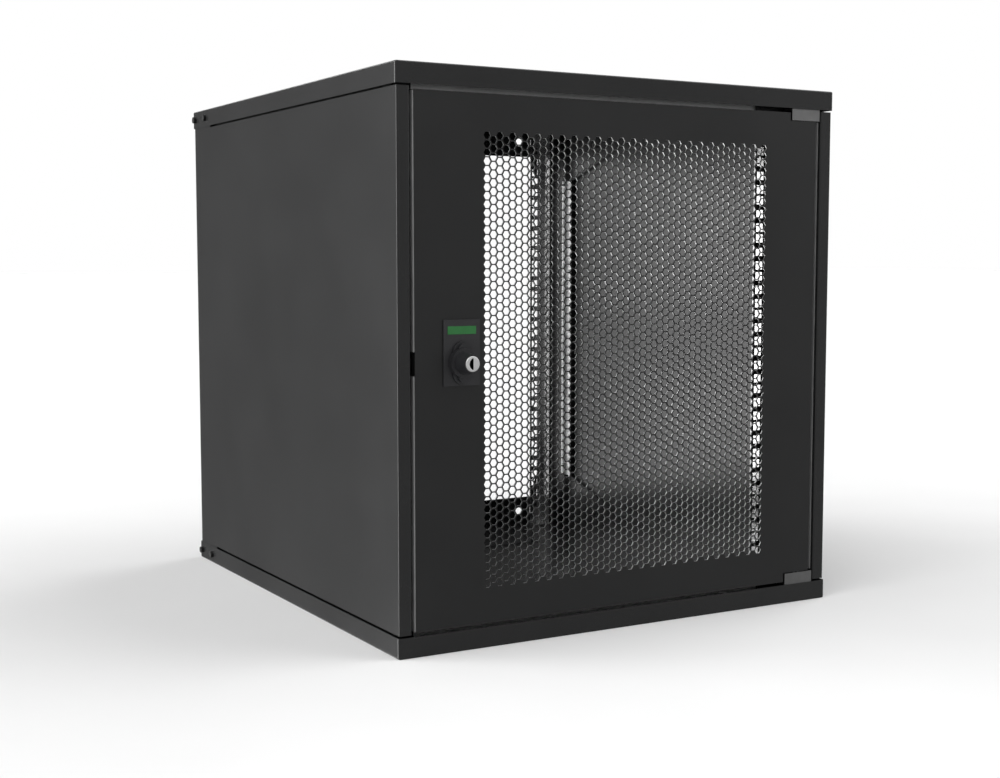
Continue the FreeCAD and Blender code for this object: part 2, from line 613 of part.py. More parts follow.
def lower_hinge():
    """Fixed pin with a sleeve in the bottom bracket, and the washer the door turns on."""
    place, seat = (HINGE_X, HINGE_Y), f"({NOTCH_LOW} - washer_thickness)"
    under = f"({WEB_LOW} - bracket_sheet)"
    node(fuse("hinge_pin_lower", [
        rod("lower_pin_shaft", "z", place, "pin_radius", f"{under} - collar_height",
            f"{NOTCH_LOW} + lower_pin_top"),
        rod("lower_pin_sleeve", "z", place, "sleeve_radius", WEB_LOW, seat),
        rod("lower_pin_collar", "z", place, "collar_radius", f"{under} - collar_height", under)]),
        "hinge_pin_lower")
    node(ring("hinge_washer", "z", place, "washer_radius", "pin_radius + pin_clearance", seat,
              f"{NOTCH_LOW} - pin_clearance"), "hinge_washer")


def upper_hinge():
    """Spring-loaded pin on the door: shaft, collar and finger grip, its shelf and its spring."""
    place, top = (HINGE_X, HINGE_Y), f"({NOTCH_HIGH} + upper_pin_top)"
    bottom = f"({top} - upper_pin_length)"
    collar = f"({NOTCH_HIGH} - door_sheet - spring_gap)"
    shelf = f"({NOTCH_HIGH} - pin_shelf_drop)"
    seat = f"({shelf} + pin_shelf_sheet)"
    node(fuse("hinge_pin_upper", [
        rod("upper_pin_shaft", "z", place, "pin_radius", bottom, top),
        rod("upper_pin_collar", "z", place, "collar_radius", f"{collar} - collar_height", collar),
        rod("upper_pin_grip", "z", place, "collar_radius", bottom, f"{bottom} + grip_height")]),
        "hinge_pin_upper")
    node(ring("hinge_spring", "z", place, "pin_radius + spring_gap + spring_wire", "pin_radius + spring_gap",
              f"{seat} + spring_gap/4", f"{collar} - collar_height - spring_gap/4"), "hinge_spring")
    x = (f"{HINGE_X} - pin_shelf_width/2", f"{HINGE_X} + pin_shelf_width/2")
    angle = fuse("pin_shelf_angle", [
        box("pin_shelf_flat", x, (DOOR_IN, f"{DOOR_BACK} - overcut"), (shelf, seat)),
        box("pin_shelf_back", x, (DOOR_IN, f"{DOOR_IN} + door_sheet"), (f"{shelf} - pin_shelf_leaf", shelf))])
    bore = rod("pin_shelf_bore", "z", place, "pin_radius + pin_clearance",
               f"{shelf} - overcut", f"{seat} + overcut")
    node(cut("hinge_pin_shelf", angle, [bore]), "hinge_pin_shelf")


def door_outline(inset):
    """Door outline with a notch at each hinge corner, drawn in by inset."""
    right, left = f"{DOOR_RIGHT} - {inset}", f"{DOOR_LEFT} + {inset}"
    notch = f"{NOTCH_LEFT} - {inset}"
    low, high = f"{DOOR_LOW} + {inset}", f"{DOOR_HIGH} - {inset}"
    notch_low, notch_high = f"{NOTCH_LOW} + {inset}", f"{NOTCH_HIGH} - {inset}"
    return [(left, low), (notch, low), (notch, notch_low), (right, notch_low),
            (right, notch_high), (notch, notch_high), (notch, high), (left, high)]


def door_panel():
    """Folded door pan with hinge notches, pin holes and lock hole."""
    block = prism("door_block", "XZ", [door_outline("0")], PANEL_FRONT, DOOR_BACK)
    hollow = prism("door_hollow", "XZ", [door_outline("door_sheet")], DOOR_IN, f"{DOOR_BACK} + overcut")
    ledges = ((f"{NOTCH_LOW} - overcut", f"{NOTCH_LOW} + door_sheet + overcut"),
              (f"{NOTCH_HIGH} - door_sheet - overcut", f"{NOTCH_HIGH} + overcut"))
    pins = [
        rod(f"door_pin_hole_{number}", "z", (HINGE_X, HINGE_Y), "pin_radius + pin_clearance", *level)
        for number, level in enumerate(ledges)
    ]
    lock = rod("door_lock_hole", "y", (LOCK_X, LOCK_Z), "barrel_radius + bolt_fit",
               f"{PANEL_FRONT} - overcut", f"{DOOR_IN} + overcut")
    node(cut("door_panel", block, [hollow, *pins, lock]), "door_panel")


def door_stiffeners():
    """Channel sections welded up both plain margins of the door."""
    starts = {"left": f"({DOOR_LEFT} + stiffener_left_inset)",
              "right": f"({DOOR_RIGHT} - stiffener_right_inset - stiffener_width)"}
    for side, low in starts.items():
        high, back = f"({low} + stiffener_width)", f"({DOOR_IN} + stiffener_depth)"
        inner = (f"{low} + door_sheet", f"{high} - door_sheet", f"{back} - door_sheet")
        outline = [(low, DOOR_IN), (inner[0], DOOR_IN), (inner[0], inner[2]), (inner[1], inner[2]),
                   (inner[1], DOOR_IN), (high, DOOR_IN), (high, back), (low, back)]
        channel = prism(f"door_stiffener_{side}", "XY", [outline],
                        f"{DOOR_LOW} + stiffener_margin", f"{DOOR_HIGH} - stiffener_margin")
        node(channel, f"door_stiffener_{side}")


def door_edge_seal():
    """Sealing strip along the free edge, broken beside the lock."""
    x = (f"{DOOR_LEFT} - seal_thickness", DOOR_LEFT)
    y = (f"{PANEL_FRONT} + seal_set", f"{PANEL_FRONT} + seal_set + seal_depth")
    lengths = ((f"{DOOR_LOW} + seal_set", f"{LOCK_Z} - seal_break/2"),
               (f"{LOCK_Z} + seal_break/2", f"{DOOR_HIGH} - seal_set"))
    strips = [box(f"door_seal_{number}", x, y, z) for number, z in enumerate(lengths)]
    node(group("door_edge_seal", strips), "door_edge_seal")


def hinge_side_seal():
    """Sealing strip on the return of the right side panel, between the hinge brackets."""
    x = (f"{HALF} - strip_right - seal_thickness", f"{HALF} - strip_right")
    y = (f"{PANEL_FRONT} + hinge_seal_set", f"{PANEL_FRONT} + hinge_seal_set + seal_depth")
    node(box("hinge_side_seal", x, y, (NOTCH_LOW, NOTCH_HIGH)), "hinge_side_seal")


def door_buffers():
    """Rubber stops on the free-side frame flange that the closed door rests on."""
    place = f"{DOOR_LEFT} + buffer_inset"
    y = (f"{DOOR_BACK} + buffer_clearance", FRAME_FRONT)
    stops = [
        rod(f"door_buffer_{number}", "y", (place, height), "buffer_radius", *y)
        for number, height in enumerate(("buffer_margin", f"{TOP} - buffer_margin"))
    ]
    node(group("door_buffers", stops), "door_buffers")


def lock_fittings():
    """Escutcheon plate, coloured inlay, threaded barrel and its nut."""
    centre = (LOCK_X, LOCK_Z)
    x = (f"{LOCK_X} - plate_width/2", f"{LOCK_X} + plate_width/2")
    z = (f"{LOCK_Z} - plate_below_axis", f"{LOCK_Z} - plate_below_axis + plate_height")
    plate = box("lock_plate_blank", x, (PLATE_FRONT, PANEL_FRONT), z)
    hole = rod("lock_plate_hole", "y", centre, "barrel_radius + bolt_fit",
               f"{PLATE_FRONT} - overcut", f"{PANEL_FRONT} + overcut")
    node(cut("lock_plate", plate, [hole]), "lock_plate")
    badge_x = (f"{LOCK_X} - badge_width/2", f"{LOCK_X} + badge_width/2")
    badge_z = (f"{LOCK_Z} + badge_rise - badge_height/2", f"{LOCK_Z} + badge_rise + badge_height/2")
    node(box("lock_inlay", badge_x, (f"{PLATE_FRONT} - badge_thickness", PLATE_FRONT), badge_z), "lock_inlay")
    node(ring("lock_barrel", "y", centre, "barrel_radius", "spindle_radius + pin_clearance",
              PLATE_FRONT, f"{CAM_FRONT} - barrel_short"), "lock_barrel")
    node(hexagon_nut("lock_nut", "y", centre, "lock_nut_flats", DOOR_IN, f"{DOOR_IN} + lock_nut_height",
                     "barrel_radius + bolt_fit"), "lock_nut")


def oblong(name, width, height, low, high):
    """Upright round-ended block centred on the lock axis."""
    half = f"(({height} - {width})/2)"
    middle = box(name + "_middle", (f"{LOCK_X} - {width}/2", f"{LOCK_X} + {width}/2"), (low, high),
                 (f"{LOCK_Z} - {half}", f"{LOCK_Z} + {half}"))
    ends = [
        rod(f"{name}_end_{number}", "y", (LOCK_X, f"{LOCK_Z} + {way}*{half}"), f"{width}/2", low, high)
        for number, way in enumerate((-1, 1))
    ]
    return fuse(name, [middle, *ends])


def lock_knob():
    """Winged knob with a tapered nose, a socket for the key plug and a through spindle."""
    centre = (LOCK_X, LOCK_Z)
    flange = oblong("knob_flange_pad", "knob_width", "knob_height", f"{KNOB_BASE} - knob_flange", KNOB_BASE)
    wing = oblong("knob_wing", "wing_width", "(knob_height - wing_short)",
                  f"{KNOB_BASE} - wing_rise", KNOB_BASE)
    boss = rod("knob_boss", "y", centre, "boss_radius", f"{KNOB_BASE} - boss_rise", KNOB_BASE)
    nose = doc.addObject("Part::Cone", "knob_nose")
    nose.Placement.Rotation = FreeCAD.Rotation(FreeCAD.Vector(1, 0, 0), 90)
    bind(nose, "Radius1", "nose_base")
    bind(nose, "Radius2", "nose_radius")
    bind(nose, "Height", "knob_rise - boss_rise")
    for axis, place in zip("xyz", (LOCK_X, f"{KNOB_BASE} - boss_rise", LOCK_Z)):
        bind(nose, f"Placement.Base.{axis}", place)
    spindle = rod("knob_spindle", "y", centre, "spindle_radius", KNOB_BASE, CAM_BACK)
    tip = rod("knob_thread", "y", centre, "spindle_tip", CAM_BACK,
              f"{CAM_BACK} + cam_washer_thickness + cam_nut_height + thread_end")
    socket = rod("knob_socket", "y", centre, "plug_radius + plug_clearance",
                 f"{KNOB_BASE} - knob_rise - overcut", f"{KNOB_BASE} - knob_rise + plug_depth")
    whole = fuse("knob_solid", [flange, wing, boss, nose, spindle, tip])
    node(cut("lock_knob", whole, [socket]), "lock_knob")


def key_plug():
    """Key cylinder in the knob's nose, with an upright keyway."""
    front = f"({KNOB_BASE} - knob_rise - plug_proud)"
    blank = rod("key_plug_blank", "y", (LOCK_X, LOCK_Z), "plug_radius", front, f"{front} + plug_depth")
    keyway = box("keyway", (f"{LOCK_X} - keyway_width/2", f"{LOCK_X} + keyway_width/2"),
                 (f"{front} - overcut", f"{front} + keyway_depth"),
                 (f"{LOCK_Z} - keyway_height/2", f"{LOCK_Z} + keyway_height/2"))
    node(cut("key_plug", blank, [keyway]), "key_plug")


def lock_cam():
    """Latch tongue that hangs down when open, with its washer and nut."""
    centre, y = (LOCK_X, LOCK_Z), (CAM_FRONT, CAM_BACK)
    tongue = box("cam_tongue", (f"{LOCK_X} - cam_width/2", f"{LOCK_X} + cam_width/2"), y,
                 (f"{LOCK_Z} - cam_reach", LOCK_Z))
    head = rod("cam_head", "y", centre, "cam_width/2", *y)
    bore = rod("cam_bore", "y", centre, "spindle_radius", f"{CAM_FRONT} - overcut", f"{CAM_BACK} + overcut")
    node(cut("lock_cam", fuse("cam_blank", [tongue, head]), [bore]), "lock_cam")
    seat = f"({CAM_BACK} + cam_washer_thickness)"
    node(ring("cam_washer", "y", centre, "cam_washer", "spindle_tip", CAM_BACK, seat), "cam_washer")
    node(hexagon_nut("cam_nut", "y", centre, "cam_nut_flats", seat, f"{seat} + cam_nut_height",
                     "spindle_tip"), "cam_nut")


def corner_bolts():
    """Button-head bolts that tie both trays to the rear posts."""
    bolts = [
        screw(f"corner_bolt_{number}", "x", (y, z),
              ("bolt_head", *span(sign, HALF, f"{HALF} + bolt_head_height")),
              ("bolt_radius", *span(sign, f"{PANEL_IN} - bolt_grip", HALF)))
        for number, (sign, y, z) in enumerate(corner_bolt_places())
    ]
    node(group("corner_bolts", bolts), "corner_bolts")


def side_panel_screws():
    """Screws put in from inside that hold the side panels to their frames."""
    screws = [
        screw(f"panel_screw_{side}_{number}", "x", place,
              ("bolt_head", *span(sign, f"{FRAME_IN} - bolt_head_height", FRAME_IN)),
              ("bolt_radius", *span(sign, FRAME_IN, f"{PANEL_IN} - shank_short")))
        for side, sign in SIDES for number, place in enumerate(panel_screw_places())
    ]
    node(group("side_panel_screws", screws), "side_panel_screws")


def cable_covers():
    """Plates that close the cable entries from inside, with their screws."""
    x = ("-entry_width/2 - cover_overlap", "entry_width/2 + cover_overlap")
    y = (f"{REAR} - entry_set - entry_depth/2 - cover_overlap",
         f"{REAR} - entry_set + entry_depth/2 + cover_overlap")
    top, low = f"({FLOOR} + cover_sheet)", f"({CEILING} - cover_sheet)"
    ends = {
        "base": ((FLOOR, top), (top, f"{top} + screw_head_height"), ("shank_short", top)),
        "roof": ((low, CEILING), (f"{low} - screw_head_height", low), (low, f"{TOP} - shank_short")),
    }
    screws = []
    for end, (level, head, shank) in ends.items():
        holes = []
        for number, place in enumerate(cover_screw_places()):
            name = f"{end}_cover_screw_{number}"
            holes.append(rod(name + "_bore", "z", place, "screw_radius + bolt_fit",
                             f"{level[0]} - overcut", f"{level[1]} + overcut"))
            screws.append(screw(name, "z", place, ("screw_head", *head), ("screw_radius", *shank)))
        blank = box(f"{end}_cover_blank", x, y, level)
        node(cut(f"{end}_cable_cover", blank, holes), f"{end}_cable_cover")
    node(group("cable_cover_screws", screws), "cable_cover_screws")


def ground_point():
    """Welded earthing stud on the floor with its nut."""
    place, level = ("-stud_x", "stud_y"), f"({FLOOR} + stud_nut_level)"
    node(fuse("ground_stud", [
        rod("stud_shaft", "z", place, "pin_radius", FLOOR, f"{FLOOR} + stud_height"),
        rod("stud_base", "z", place, "washer_radius", FLOOR, f"{FLOOR} + collar_height")]), "ground_stud")
    node(hexagon_nut("ground_nut", "z", place, "stud_nut_flats", level, f"{level} + stud_nut_height",
                     "pin_radius"), "ground_nut")


def build_cabinet():
    """Fixed body."""
    base_tray()
    roof_tray()
    rear_frame()
    for side, sign in SIDES:
        side_frame(side, sign)
        side_panel(side, sign)
        lacing_strip(side, sign)
        for place in ("front", "rear"):
            rack_rail(place, side, sign)
    front_beams()
    hinge_brackets()
    lower_hinge()
    cable_covers()
    ground_point()
    rail_screws()
    corner_bolts()
    side_panel_screws()
    hinge_screws()
    hinge_side_seal()
    door_buffers()


def build_door():
    """Door, its upper hinge pin and its lock."""
    door_panel()
    door_stiffeners()
    door_edge_seal()
    upper_hinge()
    lock_fittings()
    lock_knob()
    key_plug()
    lock_cam()


def check_and_write():
    """Stop on any failed object, then write one file for each sub-part."""
    doc.recompute()
    failed = [item.Name for item in doc.Objects if {"Invalid", "Error"} & set(item.State)]
    if failed:
        raise RuntimeError(f"objects that failed: {failed}")
    for item in NODES:
        if item.Shape.isNull() or not item.Shape.isValid() or item.Shape.Volume <= 0:
            raise RuntimeError(f"{item.Label}: bad shape")
    os.makedirs("parts", exist_ok=True)
    for item in NODES:
        item.Shape.exportStep(f"parts/{item.Label}.step")
        print(f"{item.Label}: {len(item.Shape.Solids)} solid(s), {item.Shape.Volume:.0f} mm3")


build_cabinet()
build_door()
check_and_write()
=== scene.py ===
"""Look of the twelve-unit network cabinet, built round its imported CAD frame.

Metres throughout, in the CAD frame: front towards -Y, +Z up.
"""
import json
import math

import bmesh
import bpy
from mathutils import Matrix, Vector, geometry


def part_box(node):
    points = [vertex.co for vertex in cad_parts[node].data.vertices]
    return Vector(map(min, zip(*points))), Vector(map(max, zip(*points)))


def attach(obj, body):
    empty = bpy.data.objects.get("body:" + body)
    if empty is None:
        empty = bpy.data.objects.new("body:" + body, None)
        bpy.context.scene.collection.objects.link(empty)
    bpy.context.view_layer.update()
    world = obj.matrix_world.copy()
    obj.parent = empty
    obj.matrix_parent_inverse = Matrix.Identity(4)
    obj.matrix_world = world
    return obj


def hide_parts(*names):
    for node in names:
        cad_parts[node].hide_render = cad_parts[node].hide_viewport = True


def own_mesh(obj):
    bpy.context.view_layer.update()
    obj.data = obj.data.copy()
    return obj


MM = 0.001
WELD = 2e-6
LATTICE_SNAP, FLAT_SNAP = 4 * WELD, WELD / 4
SMOOTH_BELOW = math.radians(35)

# Door perforation: flat-topped hexagons in staggered columns.
COLUMN_PITCH, ROW_PITCH = 7.352 * MM, 8.54 * MM
COLUMNS, LONG_COLUMN = 49, 54
HOLE_SHARE = 0.86
FIELD_SHIFT = 1.1 * MM
DOOR_SHEET = 1.5 * MM

# Keyway in the key cylinder: a half lens, flat side to the right.
KEYWAY_HALF_HEIGHT, KEYWAY_BULGE, KEYWAY_SIDE, KEYWAY_DEPTH = 6 * MM, 4.4 * MM, 1.4 * MM, 7 * MM
PLUG_CHAMFER, PLUG_STEPS = 0.5 * MM, 72
BESIDE_CHORD = 0.05          # cosine under which a direction from the keyway's middle misses its flat side

# Rounding on the moulded and turned CAD nodes: steps, largest angle left alone, and each node's width.
ROUNDING_STEPS, ROUNDING_ANGLE = 3, math.radians(40)
ROUNDING = {
    "lock_knob": 1.2 * MM, "lock_plate": 0.7 * MM, "lock_inlay": 0.14 * MM, "corner_bolts": 1.4 * MM,
    "rail_screws": 0.8 * MM, "side_panel_screws": 1.2 * MM, "cable_cover_screws": 0.9 * MM,
    "hinge_screws": 0.4 * MM, "hinge_pin_upper": 0.4 * MM, "hinge_pin_lower": 0.4 * MM,
    "lock_cam": 0.4 * MM, "door_buffers": 1 * MM, "hinge_bracket_top": 0.3 * MM,
    "hinge_bracket_bottom": 0.3 * MM, "door_edge_seal": 0.3 * MM, "hinge_side_seal": 0.3 * MM,
}

# Coil spring on the upper hinge pin.
SPRING_TURNS, SPRING_STEPS, WIRE_STEPS = 9, 28, 10
WIRE_RADIUS = 0.6 * MM

# Finishes. The band of a noise over which a colour or roughness changes, and how much it changes.
NOISE_BAND = (0.35, 0.65)
COAT_TINT, COAT_TONES, COAT_GLOSS_SPREAD = 0.985, (0.9, 1.1), 0.006
METAL_TONES, METAL_ROUGHNESS, SCRATCH_DEPTH, SCRATCH_STRENGTH = (0.9, 1), (0.8, 1.2), 0.01 * MM, 0.6
PLASTIC_TONES, PLASTIC_GLOSS_SPREAD, PLASTIC_SPECULAR = (0.9, 1.1), 0.04, 0.45

# Studio. The room's brightness from front to back and from below to above, and what its left wall adds;
# a tall window behind on the left; bright strips high and low behind (start, end, level);
# soft lights (level, spread, tilt, pan); the floor. Angles in degrees, pans clockwise from straight behind.
# The window and the strips fade between an outer and an inner angle; heights are sines, eases cosines.
ROOM_FRONT_BACK, ROOM_BELOW_ABOVE = (0.35, 0.08), (0.8, 1.2)
LEFT_WALL_PAN, LEFT_WALL_EASE, LEFT_WALL_LEVEL = -60, (0, 0.8), 0.06
WINDOW_PAN, WINDOW_SPREAD, WINDOW_LEVEL, WINDOW_HEIGHT = -53, (19, 9), 5.6, (0.6, 0.35)
STRIP_PAN, STRIP_SPREAD = -14, (17, 9)
STRIPS = {1: ((0.3, 0.36), (0.44, 0.39), 6.0), -1: ((0.33, 0.39), (0.48, 0.45), 6.0)}
SOFT_LIGHTS = {"soft_right": (1.9, 70, 50, 100), "soft_left": (1.6, 60, 40, -95)}
FLOOR_SIZE, FLOOR_TONES, FLOOR_ROUGHNESS, FLOOR_SPECULAR = 40, (0.88, 0.9), 0.9, 0.1

CAMERA_PLACE = (-0.9124, -1.6015, 0.3956)
CAMERA_TILT, CAMERA_PAN = 85.016, -29.975
CAMERA_LENS, CAMERA_SENSOR = 53.67, 36

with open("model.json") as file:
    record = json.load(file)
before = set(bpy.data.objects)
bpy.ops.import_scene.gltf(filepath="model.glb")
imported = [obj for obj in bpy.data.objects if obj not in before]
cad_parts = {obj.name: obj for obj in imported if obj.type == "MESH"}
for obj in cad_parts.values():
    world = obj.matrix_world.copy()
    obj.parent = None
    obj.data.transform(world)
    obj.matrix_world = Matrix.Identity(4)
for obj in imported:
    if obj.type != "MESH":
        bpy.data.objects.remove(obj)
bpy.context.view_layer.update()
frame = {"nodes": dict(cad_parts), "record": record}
nodes = frame["nodes"]


# ---------------------------------------------------------------- materials

class Material:
    """Principled material whose colour, roughness and bump come from procedural noise."""

    def __init__(self, name, **fixed):
        self.data = bpy.data.materials.new(name)
        self.data.use_nodes = True
        self.tree = self.data.node_tree
        self.shader = self.tree.nodes["Principled BSDF"]
        for socket, value in fixed.items():
            self.shader.inputs[socket.replace("_", " ")].default_value = value
        self.place = self.add("ShaderNodeTexCoord").outputs["Object"]

    def add(self, kind):
        return self.tree.nodes.new(kind)

    def link(self, start, end):
        self.tree.links.new(start, end)

    def noise(self, scale, detail, rough=0.55, stretch=None):
        """Grey noise, with features about 1/scale metres across."""
        item = self.add("ShaderNodeTexNoise")
        item.inputs["Scale"].default_value = scale
        item.inputs["Detail"].default_value = detail
        item.inputs["Roughness"].default_value = rough
        source = self.place
        if stretch:
            mapping = self.add("ShaderNodeMapping")
            mapping.inputs["Scale"].default_value = stretch
            self.link(source, mapping.inputs["Vector"])
            source = mapping.outputs["Vector"]
        self.link(source, item.inputs["Vector"])
        return item.outputs["Fac"]

    def colour(self, source, first, last):
        """Base colour that runs from one colour to another with a grey value."""
        item = self.add("ShaderNodeValToRGB")
        for stop, place, tint in zip(item.color_ramp.elements, NOISE_BAND, (first, last)):
            stop.position, stop.color = place, (*tint, 1)
        self.link(source, item.inputs["Fac"])
        self.link(item.outputs["Color"], self.shader.inputs["Base Color"])

    def roughness(self, source, first, last):
        """Roughness that runs from one number to another with a grey value."""
        item = self.add("ShaderNodeMapRange")
        for key, value in zip(("From Min", "From Max", "To Min", "To Max"), (*NOISE_BAND, first, last)):
            item.inputs[key].default_value = value
        self.link(source, item.inputs["Value"])
        self.link(item.outputs["Result"], self.shader.inputs["Roughness"])

    def bump(self, source, height, strength=1.0):
        """Relief of the given height, raised where a grey value is light."""
        item = self.add("ShaderNodeBump")
        item.inputs["Distance"].default_value = height
        item.inputs["Strength"].default_value = strength
        self.link(source, item.inputs["Height"])
        self.link(item.outputs["Normal"], self.shader.inputs["Normal"])


def grey(level, warm=1.0):
    """Near-neutral colour; warm below one leans to blue."""
    return (level * warm, level, level * (2 - warm))


def powder_coat(name, level, rough, grain):
    """Baked powder paint: orange peel, faint clouds in tone and gloss."""
    coat = Material(name)
    clouds = coat.noise(scale=9, detail=4)
    peel = coat.noise(scale=900, detail=2, rough=0.5)
    coat.colour(clouds, *(grey(level * share, COAT_TINT) for share in COAT_TONES))
    coat.roughness(clouds, rough - COAT_GLOSS_SPREAD, rough + COAT_GLOSS_SPREAD)
    coat.bump(peel, grain)
    return coat.data


def metal(name, level, rough, stretch, warm=1.0):
    """Plated or turned metal with fine drawn marks along one direction."""
    made = Material(name, Metallic=1.0)
    marks = made.noise(scale=300, detail=4, rough=0.6, stretch=stretch)
    clouds = made.noise(scale=60, detail=4)
    made.colour(clouds, *(grey(level * share, warm) for share in METAL_TONES))
    made.roughness(marks, *(rough * share for share in METAL_ROUGHNESS))
    made.bump(marks, SCRATCH_DEPTH, SCRATCH_STRENGTH)
    return made.data


def moulded(name, colour, rough, grain=0.03 * MM):
    """Moulded plastic or rubber with a fine etched grain."""
    made = Material(name, Specular_IOR_Level=PLASTIC_SPECULAR)
    clouds = made.noise(scale=40, detail=3)
    made.colour(clouds, *(tuple(c * share for c in colour) for share in PLASTIC_TONES))
    made.roughness(clouds, rough - PLASTIC_GLOSS_SPREAD, rough + PLASTIC_GLOSS_SPREAD)
    made.bump(made.noise(scale=700, detail=2, rough=0.5), grain)
    return made.data


EVEN, DRAWN_UP, DRAWN_BACK = (1, 1, 1), (1, 1, 0.1), (1, 0.1, 1)
FINISHES = {
    "powder_black": (powder_coat, 0.014, 0.25, 0.02 * MM),
    "door_black": (powder_coat, 0.012, 0.3, 0.02 * MM),
    "rail_zinc": (metal, 0.62, 0.2, DRAWN_UP),
    "punched_edge": (metal, 0.98, 0.42, EVEN),
    "hinge_grey": (metal, 0.27, 0.4, EVEN),
    "zinc_grey": (metal, 0.92, 0.42, EVEN),
    "bright_zinc": (metal, 0.75, 0.28, DRAWN_UP, 0.99),
    "bolt_black": (metal, 0.06, 0.35, EVEN),
    "lock_black": (moulded, (0.024, 0.024, 0.026), 0.45),
    "knob_black": (moulded, (0.022, 0.022, 0.024), 0.32, 0.015 * MM),
    "key_nickel": (metal, 0.98, 0.5, DRAWN_BACK),
    "inlay_green": (moulded, (0.02, 0.15, 0.035), 0.4, 0.01 * MM),
    "seal_grey": (moulded, (0.26, 0.26, 0.26), 0.7),
    "buffer_rubber": (moulded, (0.02, 0.02, 0.02), 0.75),
    "spring_steel": (metal, 0.6, 0.25, EVEN),
}
MATERIALS = {name: make(name, *values) for name, (make, *values) in FINISHES.items()}


def paint_frame():
    """Give every CAD node the material of its record slot."""
    for part in frame["record"]["subparts"]:
        data = nodes[part["node"]].data
        data.materials.clear()
        data.materials.append(MATERIALS[part["material_slot"]])


# ---------------------------------------------------------------- mesh tools

def soften(mesh):
    """Smooth shading that stays sharp at real edges."""
    for edge in mesh.edges:
        edge.smooth = edge.is_manifold and edge.calc_face_angle(0) < SMOOTH_BELOW
    for face in mesh.faces:
        face.smooth = True


def piece(name, mesh, slot, body, *stands_for, second=None):
    """Turn a bmesh into a finished piece on a body; second is the material of faces marked 1."""
    bmesh.ops.recalc_face_normals(mesh, faces=mesh.faces)
    soften(mesh)
    data = bpy.data.meshes.new(name)
    mesh.to_mesh(data)
    mesh.free()
    data.materials.append(MATERIALS[slot])
    if second:
        data.materials.append(MATERIALS[second])
    item = bpy.data.objects.new(name, data)
    bpy.context.scene.collection.objects.link(item)
    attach(item, body)
    if stands_for:
        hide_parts(*stands_for)
    return item


def skin(mesh, rings):
    """Join rings of equal length into a closed tube."""
    for one, two in zip(rings, rings[1:]):
        for n in range(len(one)):
            after = (n + 1) % len(one)
            mesh.faces.new((one[n], one[after], two[after], two[n]))
    mesh.faces.new(rings[0][::-1])
    mesh.faces.new(rings[-1])


# ---------------------------------------------------------------- door

def hexagon(x, z, share=1.0):
    """Corners of a lattice cell, or of the hole in it, counter-clockwise from the right."""
    wide, narrow, half = COLUMN_PITCH * 2 / 3, COLUMN_PITCH / 3, ROW_PITCH / 2
    corners = ((wide, 0), (narrow, half), (-narrow, half), (-wide, 0), (-narrow, -half), (narrow, -half))
    return [(x + share * u, z + share * v) for u, v in corners]


def cell_centres():
    """Staggered columns, centred on the door's height; every second one is a hole shorter."""
    low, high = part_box("door_panel")
    middle = (low.z + high.z) / 2
    for column in range(COLUMNS):
        count = LONG_COLUMN - column % 2
        x = FIELD_SHIFT + (column - (COLUMNS - 1) / 2) * COLUMN_PITCH
        for row in range(count):
            yield x, middle + (row - (count - 1) / 2) * ROW_PITCH


def enclosed(point, segments):
    """Whether a ray from the point crosses the outlines an odd number of times."""
    crossed = 0
    for a, b in segments:
        if (a.y > point.y) != (b.y > point.y):
            crossed += point.x < a.x + (b.x - a.x) * (point.y - a.y) / (b.y - a.y)
    return crossed % 2 == 1


def open_sheet(mesh, y, centres):
    """Put the hexagons into one flat face of the door sheet, and return their outlines."""
    flat = [f for f in mesh.faces if all(abs(v.co.y - y) < WELD for v in f.verts)]
    rim = [e for e in mesh.edges if sum(f in flat for f in e.link_faces) == 1]
    outline = {v: n for n, v in enumerate({v for e in rim for v in e.verts})}
    lines = [(outline[e.verts[0]], outline[e.verts[1]]) for e in rim]
    bmesh.ops.delete(mesh, geom=flat, context="FACES_ONLY")

    known = {}

    def vertex(x, z):
        key = (round(x / LATTICE_SNAP), round(z / LATTICE_SNAP))
        if key not in known:
            known[key] = mesh.verts.new((x, y, z))
        return known[key]

    holes, cell_edges = [], {}
    for x, z in centres:
        outer = [vertex(*p) for p in hexagon(x, z)]
        inner = [mesh.verts.new((u, y, w)) for u, w in hexagon(x, z, HOLE_SHARE)]
        holes.append(inner)
        for n in range(6):
            after = (n + 1) % 6
            mesh.faces.new((outer[n], outer[after], inner[after], inner[n]))
            pair = frozenset((outer[n], outer[after]))
            cell_edges[pair] = cell_edges.get(pair, 0) + 1

    border = [tuple(pair) for pair, uses in cell_edges.items() if uses == 1]
    margin = list(outline) + list({v for pair in border for v in pair})
    place = {v: n for n, v in enumerate(margin)}
    points = [Vector((v.co.x, v.co.z)) for v in margin]
    lines += [(place[a], place[b]) for a, b in border]
    corners, _, faces, origins, *_ = geometry.delaunay_2d_cdt(points, lines, [], 0, FLAT_SNAP)
    made = [margin[o[0]] if o else mesh.verts.new((p.x, y, p.y)) for o, p in zip(origins, corners)]
    segments = [(points[a], points[b]) for a, b in lines]
    for face in faces:
        if enclosed(sum((corners[n] for n in face), Vector((0, 0))) / len(face), segments):
            mesh.faces.new([made[n] for n in face])
    return holes


def door_sheet():
    """Folded door pan with its field of hexagonal holes."""
    mesh = bmesh.new()
    mesh.from_mesh(nodes["door_panel"].data)
    bmesh.ops.remove_doubles(mesh, verts=mesh.verts, dist=WELD)
    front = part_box("door_panel")[0].y
    centres = list(cell_centres())
    rings = [open_sheet(mesh, y, centres) for y in (front, front + DOOR_SHEET)]
    for outside, inside in zip(*rings):
        for n in range(6):
            after = (n + 1) % 6
            wall = mesh.faces.new((outside[n], outside[after], inside[after], inside[n]))
            wall.material_index = 1
    piece("door_sheet", mesh, "door_black", "door", "door_panel", second="punched_edge")


# ---------------------------------------------------------------- spring

